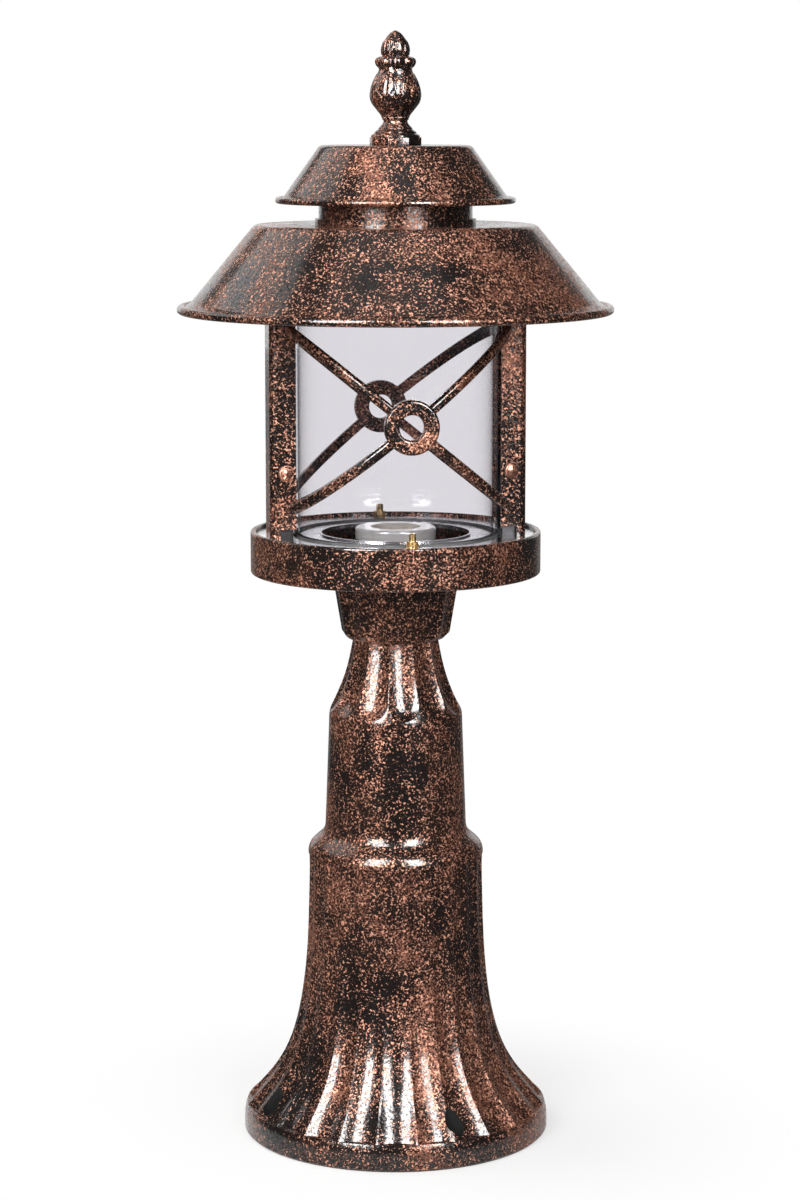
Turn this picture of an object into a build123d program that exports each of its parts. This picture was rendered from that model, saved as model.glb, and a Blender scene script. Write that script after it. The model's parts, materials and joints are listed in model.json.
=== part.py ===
"""Pedestal lantern: a fluted bell base and column carrying a round glass lantern."""

import os
from math import atan2, cos, degrees, hypot, radians, sin, sqrt

from build123d import *

# All sizes are in millimetres. Z is up and the base stands on Z = 0.
# The lantern's front, with one X brace and its ring, faces -Y.

# Pedestal casting: bell foot, shoulder, column, scooped taper and spigot
foot_radius = 88.0
foot_height = 7.0
flare_radius = 74.2
flare_share = 0.183
waist_radius = 57.2
waist_share = 0.4085
throat_radius = 51.8
throat_share = 0.6585
bell_radius = 50.3
bell_height = 164.0
shoulder_height = 17.0
column_lower_radius = 40.4
column_upper_radius = 38.1
column_height = 62.5
taper_height = 45.0
taper_upper_radius = 35.4
taper_upper_rise = 8.4
taper_lower_radius = 30.4
taper_lower_rise = 20.0
spigot_radius = 24.3
spigot_height = 12.5
casting_wall = 4.0
pedestal_web = 5.0
foot_edge_round = 1.5

# Flutes of the bell and scoops of the taper
flute_count = 24
flute_cutter_radius = 22.0
flute_land = 1.1
flute_foot_height = 15.5
flute_top_margin = 0.5
flute_embed = 1.0
flute_rim_step = 0.3
outline_sections = 8
scoop_count = 12
scoop_cutter_radius = 21.0
scoop_land = 0.7
scoop_end_height = 12.0

# Ground fixing
anchor_count = 4
anchor_circle_radius = 78.0
anchor_hole_radius = 5.25
anchor_boss_wall = 3.5
anchor_turn = 17.0

# Collar between the pedestal and the tray
collar_skirt = 12.0
collar_rise = 25.5
collar_lower_radius = 31.2
collar_upper_radius = 36.9
collar_web = 4.0
collar_wall = 3.0
collar_chamfer = 3.5
collar_cutter_radius = 30.0
socket_clearance = 0.15

# Tray
tray_margin = 8.0
tray_height = 24.0
tray_wall = 3.2
tray_floor = 3.5
tray_ledge = 3.0
tray_foot_round = 1.2
tray_lip_round = 1.2
tray_hole_radius = 21.5
tray_screw_count = 3
tray_screw_circle = 28.0
tray_screw_radius = 2.0
tray_screw_head_radius = 3.5
tray_screw_head_height = 2.4
tray_screw_length = 12.0

# Floor plate, its studs and thumb nuts
plate_recess = 2.2
plate_thickness = 1.5
plate_edge_clearance = 0.3
plate_opening_radius = 42.0
plate_lip_width = 1.2
plate_lip_height = 0.9
stud_glass_distance = 9.0
stud_radius = 2.0
stud_rise = 8.6
stud_boss_radius = 5.0
nut_radius = 3.4
nut_height = 4.4
nut_running_clearance = 0.05

# Glass and its two rubber seats
glass_radius = 58.0
glass_wall = 2.6
glass_height = 131.0
seat_thickness = 1.0
seat_width = 3.6

# Cage: two halves, each with an X brace, its ring and two half posts
post_glass_gap = 0.2
post_width = 14.6
post_depth = 30.0
post_wall = 3.0
post_corner = 4.5
post_notch_height = 5.0
post_notch_width = 9.0
brace_glass_gap = 3.5
brace_thickness = 4.5
brace_width = 5.6
brace_half_height = 50.0
brace_edge_round = 1.9
ring_radius = 15.2
ring_hole_radius = 7.0
ring_glass_gap = 3.0
ring_depth = 6.4
ring_edge_round = 1.6
ring_centre_rise = 66.5
post_boss_depth = 8.0
post_boss_length = 11.5
screw_hole_margin = 1.0

# Post brackets and their fixings
bracket_sheet = 1.5
bracket_width = 9.0
bracket_rise = 43.0
bracket_clearance = 0.1
rivet_radius = 2.0
rivet_head_radius = 3.6
rivet_head_height = 1.4
post_screw_rise = 36.7
post_screw_radius = 2.5
post_screw_head_radius = 4.9
post_screw_head_height = 2.8
post_screw_length = 8.0
screw_slot_width = 1.2
screw_slot_depth = 1.3
screw_clearance = 0.1

# Top plate and roof stack
top_plate_margin = 2.2
top_plate_thickness = 2.0
top_screw_radius = 2.0
top_screw_head_radius = 3.6
top_screw_head_height = 2.2
top_screw_length = 8.0
rod_radius = 3.0
rod_clearance = 0.15
rod_nut_width = 10.0
rod_nut_height = 5.0
rod_tail = 3.0
roof_sheet = 1.5
spacer_radius = 6.0
main_roof_rise = 39.5
main_roof_round = 5.0
main_roof_top_radius = 78.9
main_roof_cone_radius = 115.0
main_roof_cone_drop = 43.6
main_roof_brim_radius = 120.4
main_roof_brim_drop = 47.2
main_roof_bead = 2.4
neck_radius = 43.1
neck_wall = 2.2
neck_flange_radius = 45.1
neck_flange_height = 3.2
neck_seat_radius = 37.0
neck_shoulder_drop = 11.0
neck_height = 42.3
upper_roof_top_radius = 42.4
upper_roof_round = 4.0
upper_roof_cone_radius = 62.3
upper_roof_cone_drop = 28.0
upper_roof_brim_radius = 65.6
upper_roof_brim_drop = 30.4
upper_roof_bead = 1.8

# Finial, screwed on the rod
finial_foot_radius = 15.0
finial_foot_height = 4.4
finial_skirt_radius = 7.9
finial_skirt_height = 11.2
finial_neck_radius = 7.0
finial_neck_height = 14.4
finial_bulb_radius = 13.6
finial_bulb_height = 28.6
finial_waist_radius = 10.3
finial_waist_height = 41.2
finial_crown_radius = 11.5
finial_crown_height = 45.6
finial_crown_top = 49.0
finial_bud_radius = 8.3
finial_height = 63.1
finial_petals = 8
finial_foot_sides = 8
finial_stem_radius = 13.6
finial_petal_groove = 1.6
finial_bore_depth = 22.0
finial_running_clearance = 0.05

# Nipple, lampholder and wiring parts
nipple_radius = 5.0
nipple_bore_radius = 3.6
nipple_clearance = 0.15
nipple_tail = 2.0
nipple_nut_width = 14.0
nipple_nut_height = 4.0
washer_radius = 9.0
washer_thickness = 1.2
bush_wall = 0.8
bush_flange_radius = 6.0
bush_flange_height = 1.2
bush_length = 8.0
bush_clearance = 0.1
holder_gap = 1.5
holder_radius = 19.0
holder_neck_radius = 11.0
holder_neck_height = 9.0
holder_shoulder_height = 8.0
holder_entry_depth = 7.0
holder_rim_radius = 23.0
holder_rim_height = 6.5
holder_rim_above_plate = 4.0
socket_radius = 13.3
shell_wall = 0.7
shell_clearance = 0.1
shell_below_rim = 1.5
shell_length = 21.0
contact_width = 6.0
contact_thickness = 0.8
contact_rise = 4.0
contact_reach = 11.0
strip_width = 16.0
strip_sheet = 1.5
strip_leg_offset = 12.5
strip_leg_length = 62.0
strip_foot = 9.0
block_width = 18.0
block_depth = 12.0
block_length = 28.0
block_drop = 16.0
block_poles = 3
block_bore_radius = 2.0
terminal_screw_radius = 1.6
terminal_screw_rise = 0.8
terminal_screw_length = 4.0
terminal_row_spacing = 16.0
earth_screw_radius = 2.0
earth_screw_head_radius = 3.6
earth_screw_head_height = 2.2
earth_screw_length = 5.0
earth_screw_margin = 6.0

# Heights worked out from the sizes above
flare_height = flare_share * bell_height
waist_height = waist_share * bell_height
throat_height = throat_share * bell_height
shoulder_top = bell_height + shoulder_height
column_top = shoulder_top + column_height
taper_top = column_top + taper_height
pedestal_top = taper_top + spigot_height
collar_bottom = pedestal_top - collar_skirt
collar_web_top = pedestal_top + collar_web
tray_bottom = pedestal_top + collar_rise
tray_floor_top = tray_bottom + tray_floor
tray_top = tray_bottom + tray_height
plate_top = tray_top - plate_recess
plate_bottom = plate_top - plate_thickness
glass_bottom = plate_top + seat_thickness
glass_top = glass_bottom + glass_height
top_plate_bottom = glass_top + seat_thickness
top_plate_top = top_plate_bottom + top_plate_thickness
main_roof_top = top_plate_top + main_roof_rise
upper_roof_top = main_roof_top + neck_height + roof_sheet
ring_centre = plate_top + ring_centre_rise
holder_top = plate_top + holder_rim_above_plate
holder_body_top = holder_top - holder_rim_height
holder_bottom = collar_web_top + nipple_nut_height + washer_thickness + holder_gap

# Radii and distances worked out from the sizes above
post_half = post_depth / 2
post_inner = glass_radius + post_glass_gap
post_reach = post_inner + post_width
post_corner_radius = hypot(post_reach, post_half)
tray_radius = post_corner_radius + tray_margin
top_plate_radius = post_corner_radius + top_plate_margin
stud_circle = glass_radius + stud_glass_distance
brace_inner_radius = glass_radius + brace_glass_gap
ring_inner = glass_radius + ring_glass_gap
ring_face = ring_inner + ring_depth
post_screw_x = (post_inner + post_reach - post_wall) / 2
post_screw_z = plate_top + post_screw_rise
post_boss_x = post_reach - post_wall - post_boss_depth / 2
post_boss_y = post_half - post_wall - post_boss_depth / 2
brace_outer_radius = brace_inner_radius + brace_thickness
brace_angle = degrees(atan2(brace_half_height, brace_inner_radius))
plate_radius = tray_radius - tray_wall - plate_edge_clearance
strip_top = pedestal_top - pedestal_web
nipple_bottom = strip_top - strip_sheet - nipple_nut_height - nipple_tail
shell_bottom = holder_top - shell_below_rim - shell_length
shell_radius = socket_radius + shell_wall


def groove_centre(radius, count, land, cutter):
    """Distance from the axis to a round cutter that leaves a land between grooves."""
    half_angle = radians(180 / count) - land / (2 * radius)
    half_chord = radius * sin(half_angle)
    return radius * cos(half_angle) + sqrt(cutter**2 - half_chord**2)


def groove_depth(radius, count, land, cutter):
    """Depth of such a groove below the round surface that it is cut in."""
    return radius + cutter - groove_centre(radius, count, land, cutter)


def share_at(curve, height):
    """Share of a rising curve's length at which it reaches a height."""
    low, high = 0.0, 1.0
    for _ in range(20):
        middle = (low + high) / 2
        if curve.position_at(middle).Z < height:
            low = middle
        else:
            high = middle
    return middle


def beside(curve, first_height, last_height, count, reach):
    """Points beside a rising curve in the XZ plane, each at its own outward reach."""
    first = share_at(curve, first_height)
    last = share_at(curve, last_height)
    points = []
    for step in range(count):
        share = first + (last - first) * step / (count - 1)
        point = curve.position_at(share)
        along = curve.tangent_at(share)
        outward = Vector(along.Z, 0, -along.X)
        points.append(point + outward * reach(point.X))
    return points


def rod(radius, low, high, mode=Mode.ADD):
    """Upright cylinder between two heights, in the current builder."""
    with Locations((0, 0, low)):
        Cylinder(
            radius, high - low, align=(Align.CENTER, Align.CENTER, Align.MIN), mode=mode
        )


def corner(sketch, x, y):
    """Corner of a sketch nearest to a point of its plane."""
    return sketch.vertices().sort_by_distance((x, y))[0]


def hexagon(width):
    """Hexagon of a given width across its flats, in the current sketch."""
    RegularPolygon(width / 2, 6, major_radius=False)


def pan_screw(radius, length, head_radius, head_height):
    """Cross-recessed screw with its shank below Z = 0 and its head above."""
    with BuildPart() as screw:
        rod(radius, -length, 0)
        rod(head_radius, 0, head_height)
        fillet(screw.edges().group_by(Axis.Z)[-1], 0.6 * head_height)
        with Locations((0, 0, head_height)):
            Box(
                1.2 * head_radius,
                screw_slot_width,
                2 * screw_slot_depth,
                mode=Mode.SUBTRACT,
            )
            Box(
                screw_slot_width,
                1.2 * head_radius,
                2 * screw_slot_depth,
                mode=Mode.SUBTRACT,
            )
    return screw.part


def save(part, name):
    """Label one finished piece and write it under its node name."""
    part.label = name
    export_step(part, f"parts/{name}.step")


os.makedirs("parts", exist_ok=True)

# Outline curves of the pedestal in the XZ plane
bell_curve = Spline(
    (foot_radius, 0, foot_height),
    (flare_radius, 0, flare_height),
    (waist_radius, 0, waist_height),
    (throat_radius, 0, throat_height),
    (bell_radius, 0, bell_height),
    tangents=[(0, 0, 1), (0, 0, 1)],
)
taper_curve = Spline(
    (column_upper_radius, 0, column_top),
    (taper_upper_radius, 0, column_top + taper_upper_rise),
    (taper_lower_radius, 0, column_top + taper_lower_rise),
    (spigot_radius, 0, taper_top),
    tangents=[(-0.05, 0, 1), (-0.18, 0, 1)],
)

# Fluted part of the bell, skinned through its cove outlines from foot to shoulder
flute_pitch = 360 / flute_count
flute_top_height = bell_height - flute_top_margin
with BuildPart() as fluted_bell:
    for point in beside(
        bell_curve, flute_foot_height, flute_top_height, outline_sections, lambda r: 0
    ):
        radius = point.X - flute_rim_step
        half_land = degrees(flute_land / 2 / radius)
        depth = groove_depth(radius, flute_count, flute_land, flute_cutter_radius)
        land_point = Vector(radius, 0)
        with BuildSketch(Plane.XY.offset(point.Z)):
            with BuildLine():
                for step in range(flute_count):
                    turn = step * flute_pitch
                    cove_line = ThreePointArc(
                        land_point.rotate(Axis.Z, turn + half_land),
                        Vector(radius - depth, 0).rotate(
                            Axis.Z, turn + flute_pitch / 2
                        ),
                        land_point.rotate(Axis.Z, turn + flute_pitch - half_land),
                    )
                    Line(
                        cove_line @ 1,
                        land_point.rotate(Axis.Z, turn + flute_pitch + half_land),
                    )
            make_face()
    loft()
    extrude(fluted_bell.faces().sort_by(Axis.Z)[0], amount=flute_embed)
    extrude(fluted_bell.faces().sort_by(Axis.Z)[-1], amount=flute_embed)

# Scoop cutter: a ball-ended bar that follows the taper up past the spigot's foot
with BuildPart() as scoop_cutter:
    with BuildLine() as scoop_line:
        taper_path = ThreePointArc(
            *beside(
                taper_curve,
                column_top + scoop_end_height,
                taper_top,
                3,
                lambda r: scoop_cutter_radius
                - groove_depth(r, scoop_count, scoop_land, scoop_cutter_radius),
            )
        )
        Line(taper_path @ 1, (taper_path @ 1) + (taper_path % 1) * spigot_height)
    with BuildSketch(Plane(scoop_line.line @ 0, z_dir=scoop_line.line % 0)):
        Circle(scoop_cutter_radius)
    sweep()
    with Locations(taper_path @ 0):
        Sphere(scoop_cutter_radius)

# Cavity of the pedestal, open at the ground, less the bosses of the ground fixing
bell_inside = beside(
    bell_curve,
    foot_height,
    bell_height,
    outline_sections,
    lambda r: -casting_wall
    - groove_depth(r, flute_count, flute_land, flute_cutter_radius),
)
taper_inside = beside(
    taper_curve,
    column_top,
    taper_top,
    outline_sections,
    lambda r: -casting_wall
    - groove_depth(r, scoop_count, scoop_land, scoop_cutter_radius),
)
with BuildPart() as cavity:
    with BuildSketch(Plane.XZ):
        with BuildLine():
            foot_line = Line((0, 0), (bell_inside[0].X, 0))
            Line(foot_line @ 1, (bell_inside[0].X, bell_inside[0].Z))
            bell_line = Spline(*[(p.X, p.Z) for p in bell_inside])
            step_line = Line(
                bell_line @ 1, (column_lower_radius - casting_wall, shoulder_top)
            )
            Line(step_line @ 1, (taper_inside[0].X, taper_inside[0].Z))
            taper_line = Spline(*[(p.X, p.Z) for p in taper_inside])
            neck_line = Line(taper_line @ 1, (taper_inside[-1].X, strip_top))
            top_line = Line(neck_line @ 1, (0, strip_top))
            Line(top_line @ 1, foot_line @ 0)
        make_face()
    revolve(axis=Axis.Z)
    with PolarLocations(anchor_circle_radius, anchor_count, start_angle=anchor_turn):
        rod(anchor_hole_radius + anchor_boss_wall, 0, bell_height, Mode.SUBTRACT)

# Pedestal: the revolved casting with its fluted bell and scooped taper, hollowed
with BuildPart() as pedestal:
    with BuildSketch(Plane.XZ):
        with BuildLine():
            ground_line = Line((0, 0), (foot_radius - foot_edge_round, 0))
            edge_line = Line(ground_line @ 1, (foot_radius, foot_edge_round))
            Line(edge_line @ 1, (foot_radius, foot_height))
            Spline(
                (foot_radius, foot_height),
                (flare_radius, flare_height),
                (waist_radius, waist_height),
                (throat_radius, throat_height),
                (bell_radius, bell_height),
                tangents=[(0, 1), (0, 1)],
            )
            Spline(
                (bell_radius, bell_height),
                (
                    (bell_radius + column_lower_radius) / 2,
                    bell_height + shoulder_height / 2,
                ),
                (column_lower_radius, shoulder_top),
                tangents=[(0, 1), (0, 1)],
            )
            Line((column_lower_radius, shoulder_top), (column_upper_radius, column_top))
            Spline(
                (column_upper_radius, column_top),
                (taper_upper_radius, column_top + taper_upper_rise),
                (taper_lower_radius, column_top + taper_lower_rise),
                (spigot_radius, taper_top),
                tangents=[(-0.05, 1), (-0.18, 1)],
            )
            Line((spigot_radius, taper_top), (0, taper_top))
            Line((0, taper_top), (0, 0))
        make_face()
    revolve(axis=Axis.Z)
    rod(foot_radius, flute_foot_height, flute_top_height, Mode.SUBTRACT)
    add(fluted_bell.part)
    with PolarLocations(0, scoop_count):
        add(scoop_cutter.part, mode=Mode.SUBTRACT)
    rod(spigot_radius, taper_top, pedestal_top)
    add(cavity.part, mode=Mode.SUBTRACT)
    with PolarLocations(anchor_circle_radius, anchor_count, start_angle=anchor_turn):
        rod(anchor_hole_radius, -1, bell_height, Mode.SUBTRACT)
    rod(nipple_radius + nipple_clearance, 0, pedestal_top + 1, Mode.SUBTRACT)
save(pedestal.part, "pedestal")

# Collar cutter: a straight bar beside the collar's cone, longer than the cone
collar_path = [
    Vector(groove_centre(radius, scoop_count, scoop_land, collar_cutter_radius), 0, z)
    for radius, z in (
        (collar_lower_radius, collar_bottom + collar_chamfer),
        (collar_upper_radius, tray_bottom),
    )
]
collar_run = collar_path[1] - collar_path[0]
with BuildPart() as collar_cutter:
    with BuildSketch(Plane(collar_path[0] - collar_run, z_dir=collar_run)):
        Circle(collar_cutter_radius)
    extrude(amount=3 * collar_run.length)

# Collar: a scooped inverted cone that drops over the spigot
collar_inner_radius = (
    collar_upper_radius
    - groove_depth(collar_upper_radius, scoop_count, scoop_land, collar_cutter_radius)
    - collar_wall
)
collar_slope = (collar_upper_radius - collar_lower_radius) / collar_run.Z
with BuildPart() as collar:
    with BuildSketch(Plane.XZ):
        with BuildLine():
            Polyline(
                (spigot_radius + socket_clearance, collar_bottom),
                (collar_lower_radius - collar_chamfer, collar_bottom),
                (collar_lower_radius, collar_bottom + collar_chamfer),
                (collar_upper_radius, tray_bottom),
                (collar_inner_radius, tray_bottom),
                (
                    collar_inner_radius
                    - collar_slope * (tray_bottom - collar_web_top),
                    collar_web_top,
                ),
                (nipple_radius + nipple_clearance, collar_web_top),
                (nipple_radius + nipple_clearance, pedestal_top),
                (spigot_radius + socket_clearance, pedestal_top),
                close=True,
            )
        make_face()
    revolve(axis=Axis.Z)
    with PolarLocations(tray_screw_circle, tray_screw_count, start_angle=90):
        rod(2 * tray_screw_radius, collar_web_top, tray_bottom)
        rod(
            tray_screw_radius + screw_clearance,
            tray_floor_top - tray_screw_length - screw_hole_margin,
            tray_bottom,
            Mode.SUBTRACT,
        )
    with PolarLocations(0, scoop_count):
        add(collar_cutter.part, mode=Mode.SUBTRACT)
save(collar.part, "collar")

# Tray: a round casting with a ledge for the floor plate and two stud bosses
tray_inner_radius = tray_radius - tray_wall
with BuildPart() as tray:
    with BuildSketch(Plane.XZ) as tray_section:
        with BuildLine():
            Polyline(
                (tray_hole_radius, tray_bottom),
                (tray_radius, tray_bottom),
                (tray_radius, tray_top),
                (tray_inner_radius, tray_top),
                (tray_inner_radius, plate_bottom),
                (tray_inner_radius - tray_ledge, plate_bottom),
                (tray_inner_radius - tray_ledge, tray_floor_top),
                (tray_hole_radius, tray_floor_top),
                close=True,
            )
        make_face()
        fillet(corner(tray_section, tray_radius, tray_bottom), tray_foot_round)
        fillet(corner(tray_section, tray_radius, tray_top), tray_lip_round)
        fillet(corner(tray_section, tray_inner_radius, tray_top), tray_lip_round)
    revolve(axis=Axis.Z)
    with PolarLocations(stud_circle, 2, start_angle=90):
        rod(stud_boss_radius, tray_floor_top, plate_bottom)
        rod(
            stud_radius + screw_clearance,
            tray_floor_top + screw_hole_margin,
            plate_bottom,
            Mode.SUBTRACT,
        )
    with PolarLocations(tray_screw_circle, tray_screw_count, start_angle=90):
        rod(
            tray_screw_radius + screw_clearance,
            tray_bottom,
            tray_floor_top,
            Mode.SUBTRACT,
        )
save(tray.part, "tray")

# Tray screws, down into the collar's bosses
tray_screw = pan_screw(
    tray_screw_radius, tray_screw_length, tray_screw_head_radius, tray_screw_head_height
)
with BuildPart() as tray_screws:
    with Locations((0, 0, tray_floor_top)):
        with PolarLocations(tray_screw_circle, tray_screw_count, start_angle=90):
            add(tray_screw)
save(tray_screws.part, "tray_screws")

# Floor plate, with a thin upstand round its opening
with BuildPart() as floor_plate:
    rod(plate_radius, plate_bottom, plate_top)
    rod(plate_opening_radius + plate_lip_width, plate_top, plate_top + plate_lip_height)
    rod(plate_opening_radius, plate_bottom, plate_top + plate_lip_height, Mode.SUBTRACT)
    with PolarLocations(stud_circle, 2, start_angle=90):
        rod(stud_radius + screw_clearance, plate_bottom, plate_top, Mode.SUBTRACT)
    with PolarLocations(post_screw_x, 2):
        rod(rivet_radius + screw_clearance, plate_bottom, plate_top, Mode.SUBTRACT)
save(floor_plate.part, "floor_plate")

# Plate studs, standing in the tray's bosses, and a round nut on each
with BuildPart() as plate_studs:
    with PolarLocations(stud_circle, 2, start_angle=90):
        rod(stud_radius, tray_floor_top + screw_hole_margin, plate_top + stud_rise)
    chamfer(plate_studs.edges().group_by(Axis.Z)[-1], stud_radius / 4)
save(plate_studs.part, "plate_studs")

with BuildPart() as stud_nut_front:
    with Locations((0, -stud_circle)):
        rod(nut_radius, plate_top, plate_top + nut_height)
        chamfer(stud_nut_front.edges().group_by(Axis.Z)[-1], nut_radius / 8)
        rod(
            stud_radius + nut_running_clearance,
            plate_top,
            plate_top + nut_height,
            Mode.SUBTRACT,
        )
save(stud_nut_front.part, "stud_nut_front")

with BuildPart() as stud_nut_rear:
    add(mirror(stud_nut_front.part, about=Plane.XZ))
save(stud_nut_rear.part, "stud_nut_rear")

# Glass cylinder between two flat rubber rings
with BuildPart() as glass:
    rod(glass_radius, glass_bottom, glass_top)
    rod(glass_radius - glass_wall, glass_bottom, glass_top, Mode.SUBTRACT)
save(glass.part, "glass")

with BuildPart() as glass_seat_lower:
    rod(glass_radius, plate_top, glass_bottom)
    rod(glass_radius - seat_width, plate_top, glass_bottom, Mode.SUBTRACT)
save(glass_seat_lower.part, "glass_seat_lower")

with BuildPart() as glass_seat_upper:
    rod(glass_radius, glass_top, top_plate_bottom)
    rod(glass_radius - seat_width, glass_top, top_plate_bottom, Mode.SUBTRACT)
save(glass_seat_upper.part, "glass_seat_upper")

# Brace ring: a flat round-edged ring at the crossing of the X
with BuildPart() as brace_ring:
    with BuildSketch(Plane.XZ.offset(ring_inner)):
        with Locations((0, ring_centre)):
            Circle(ring_radius)
            Circle(ring_hole_radius, mode=Mode.SUBTRACT)
    extrude(amount=ring_face - ring_inner)
    fillet(brace_ring.edges().group_by(Axis.Y)[0], ring_edge_round)

# X brace: four bars bent round the glass, with rounded outer edges
with BuildPart() as brace_bars:
    with BuildSketch(Plane.XZ.offset(post_half - post_wall)):
        with Locations((0, ring_centre)):
            for turn in (-brace_angle, brace_angle):
                Rectangle(
                    2 * (post_reach + brace_half_height), brace_width, rotation=turn
                )
            Circle((ring_radius + ring_hole_radius) / 2, mode=Mode.SUBTRACT)
    extrude(amount=brace_outer_radius)
    with BuildSketch(Plane.XY.offset(plate_top)):
        Circle(brace_outer_radius)
        Circle(brace_inner_radius, mode=Mode.SUBTRACT)
    extrude(amount=glass_height, mode=Mode.INTERSECT)
    fillet(
        brace_bars.edges().filter_by(
            lambda e: e.length > brace_half_height
            and hypot((e @ 0.5).X, (e @ 0.5).Y) > brace_outer_radius - 0.1
        ),
        brace_edge_round,
    )

# Front half of the cage: its X brace and ring between two half posts
with BuildPart() as cage_front:
    with BuildSketch(Plane.XY.offset(plate_top)) as post_section:
        with BuildLine():
            Polyline(
                (post_inner, -post_half),
                (post_reach, -post_half),
                (post_reach, 0),
                (post_reach - post_wall, 0),
                (post_reach - post_wall, post_wall - post_half),
                (post_inner, post_wall - post_half),
                close=True,
            )
        make_face()
        fillet(corner(post_section, post_reach, -post_half), post_corner)
        mirror(about=Plane.YZ)
    extrude(amount=top_plate_bottom - plate_top)
    for side in (-1, 1):
        with Locations((side * post_boss_x, -post_boss_y, top_plate_bottom)):
            Box(
                post_boss_depth,
                post_boss_depth,
                post_boss_length,
                align=(Align.CENTER, Align.CENTER, Align.MAX),
            )
        with Locations((side * post_boss_x, -post_boss_y)):
            rod(
                top_screw_radius + screw_clearance,
                top_plate_top - top_screw_length - screw_hole_margin,
                top_plate_bottom,
                Mode.SUBTRACT,
            )
        with Locations((side * (post_inner + post_notch_width / 2), -post_half)):
            Box(
                post_notch_width,
                3 * post_wall,
                2 * (plate_top + post_notch_height),
                mode=Mode.SUBTRACT,
            )
        with Locations((side * post_screw_x, -post_half, post_screw_z)):
            Cylinder(
                post_screw_radius + screw_clearance,
                3 * post_wall,
                rotation=(90, 0, 0),
                mode=Mode.SUBTRACT,
            )
    add(brace_bars.part)
    add(brace_ring.part)
save(cage_front.part, "cage_front")

with BuildPart() as cage_rear:
    add(mirror(cage_front.part, about=Plane.XZ))
save(cage_rear.part, "cage_rear")

# Post brackets: bent sheet channels that stand inside the posts
bracket_half = post_half - post_wall - bracket_clearance
with BuildPart() as bracket_right:
    with BuildSketch(Plane.YZ.offset(post_screw_x - bracket_width / 2)):
        with BuildLine():
            Polyline(
                (-bracket_half, plate_top + bracket_rise),
                (-bracket_half, plate_top),
                (bracket_half, plate_top),
                (bracket_half, plate_top + bracket_rise),
                (bracket_half - bracket_sheet, plate_top + bracket_rise),
                (bracket_half - bracket_sheet, plate_top + bracket_sheet),
                (bracket_sheet - bracket_half, plate_top + bracket_sheet),
                (bracket_sheet - bracket_half, plate_top + bracket_rise),
                close=True,
            )
        make_face()
    extrude(amount=bracket_width)
    with Locations((post_screw_x, 0, post_screw_z)):
        Cylinder(
            post_screw_radius + screw_clearance,
            post_depth,
            rotation=(90, 0, 0),
            mode=Mode.SUBTRACT,
        )
    with Locations((post_screw_x, 0)):
        rod(
            rivet_radius + screw_clearance,
            plate_top,
            plate_top + bracket_sheet,
            Mode.SUBTRACT,
        )
save(bracket_right.part, "bracket_right")

with BuildPart() as bracket_left:
    add(mirror(bracket_right.part, about=Plane.YZ))
save(bracket_left.part, "bracket_left")

# Rivets that hold the brackets to the floor plate
with BuildPart() as bracket_rivets:
    with PolarLocations(post_screw_x, 2):
        rod(rivet_radius, plate_bottom, plate_top + bracket_sheet)
        rod(
            rivet_head_radius,
            plate_top + bracket_sheet,
            plate_top + bracket_sheet + rivet_head_height,
        )
        rod(rivet_head_radius, plate_bottom - rivet_head_height, plate_bottom)
    fillet(bracket_rivets.edges().group_by(Axis.Z)[-1], 0.7 * rivet_head_height)
save(bracket_rivets.part, "bracket_rivets")

# Post screws, one through each post face into its bracket
post_screw = pan_screw(
    post_screw_radius, post_screw_length, post_screw_head_radius, post_screw_head_height
)
with BuildPart() as post_screws:
    for side in (-1, 1):
        for facing in (-1, 1):
            with Locations(
                Location(
                    (side * post_screw_x, facing * post_half, post_screw_z),
                    (-facing * 90, 0, 0),
                )
            ):
                add(post_screw)
save(post_screws.part, "post_screws")

# Top plate and the screws that hold it on the posts
with BuildPart() as top_plate:
    rod(top_plate_radius, top_plate_bottom, top_plate_top)
    rod(rod_radius + rod_clearance, top_plate_bottom, top_plate_top, Mode.SUBTRACT)
    with GridLocations(2 * post_boss_x, 2 * post_boss_y, 2, 2):
        rod(
            top_screw_radius + screw_clearance,
            top_plate_bottom,
            top_plate_top,
            Mode.SUBTRACT,
        )
save(top_plate.part, "top_plate")

top_screw = pan_screw(
    top_screw_radius, top_screw_length, top_screw_head_radius, top_screw_head_height
)
with BuildPart() as top_screws:
    with Locations((0, 0, top_plate_top)):
        with GridLocations(2 * post_boss_x, 2 * post_boss_y, 2, 2):
            add(top_screw)
save(top_screws.part, "top_screws")

# Roof rod, its nut under the top plate and the spacer under the main roof
with BuildPart() as roof_rod:
    rod(
        rod_radius,
        top_plate_bottom - rod_nut_height - rod_tail,
        upper_roof_top + finial_bore_depth - screw_hole_margin,
    )
    chamfer(roof_rod.edges().filter_by(GeomType.CIRCLE), rod_radius / 5)
save(roof_rod.part, "roof_rod")

with BuildPart() as rod_nut:
    with BuildSketch(Plane.XY.offset(top_plate_bottom - rod_nut_height)):
        hexagon(rod_nut_width)
        Circle(rod_radius + rod_clearance, mode=Mode.SUBTRACT)
    extrude(amount=rod_nut_height)
save(rod_nut.part, "rod_nut")

with BuildPart() as roof_spacer:
    rod(spacer_radius, top_plate_top, main_roof_top - roof_sheet)
    rod(
        rod_radius + rod_clearance,
        top_plate_top,
        main_roof_top - roof_sheet,
        Mode.SUBTRACT,
    )
save(roof_spacer.part, "roof_spacer")


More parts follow.
